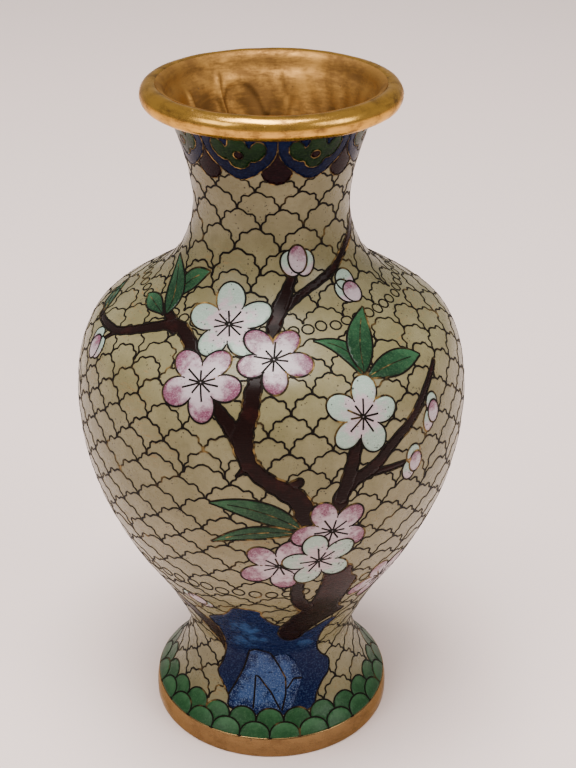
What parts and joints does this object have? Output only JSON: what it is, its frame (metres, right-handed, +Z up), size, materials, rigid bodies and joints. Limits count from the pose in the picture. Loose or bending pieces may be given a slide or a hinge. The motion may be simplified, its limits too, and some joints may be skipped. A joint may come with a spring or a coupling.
{
  "type": "cloisonne vase",
  "caption": "Baluster vase with a flared neck and spreading foot, cream cell-work ground with plum blossom on a branch over a blue rock, brass mouth rim and foot ring.",
  "frame": {"origin": "centre of the foot ring's underside, on the surface the vase stands on", "axes": "+Z up along the vase's turning axis, front of the decoration towards -Y, +X to the right of the front"},
  "size_m": [0.1284, 0.1284, 0.23],
  "materials": {
    "gilt_brass": "polished, worn gilding",
    "bare_copper": "bare spun copper, dull and streaked",
    "cream_enamel": "satin gloss, finely pitted",
    "green_enamel": "satin gloss",
    "blue_enamel": "satin gloss",
    "pink_enamel": "satin gloss, shaded",
    "white_enamel": "satin gloss, finely pitted",
    "brown_enamel": "satin gloss",
    "turquoise_enamel": "gloss"
  },
  "bodies": {
    "root": {"base_enamel": "turquoise_enamel", "base_plate": "bare_copper", "belly_section": "bare_copper", "blossom_left_pink": "pink_enamel", "blossom_lower_left_pink": "pink_enamel", "blossom_lower_right_pink": "pink_enamel", "blossom_lower_white": "white_enamel", "blossom_middle_pink": "pink_enamel", "blossom_right_white": "white_enamel", "blossom_side_pink": "pink_enamel", "blossom_upper_white": "white_enamel", "branch_flower": "brown_enamel", "branch_foot": "brown_enamel", "branch_fork": "brown_enamel", "branch_left": "brown_enamel", "branch_neck": "brown_enamel", "branch_neck_long": "brown_enamel", "branch_right": "brown_enamel", "branch_twig": "brown_enamel", "bud_foot": "pink_enamel", "bud_left": "pink_enamel", "bud_lower_right": "pink_enamel", "bud_neck": "pink_enamel", "bud_right": "pink_enamel", "bud_shoulder": "pink_enamel", "collar_border_enamel": "blue_enamel", "foot_ring": "gilt_brass", "foot_section": "bare_copper", "ground_enamel": "cream_enamel", "leaf_lower_long": "green_enamel", "leaf_lower_short": "green_enamel", "leaf_right_curled": "green_enamel", "leaf_right_flat": "green_enamel", "leaf_right_tall": "green_enamel", "leaf_upper_curled": "green_enamel", "leaf_upper_long": "green_enamel", "leaf_upper_small": "green_enamel", "mouth_rim": "gilt_brass", "neck_section": "bare_copper", "rock_enamel": "blue_enamel", "scale_band_enamel": "green_enamel", "trunk_base": "brown_enamel", "trunk_side": "brown_enamel", "trunk_upper": "brown_enamel"}
  },
  "joints": []
}
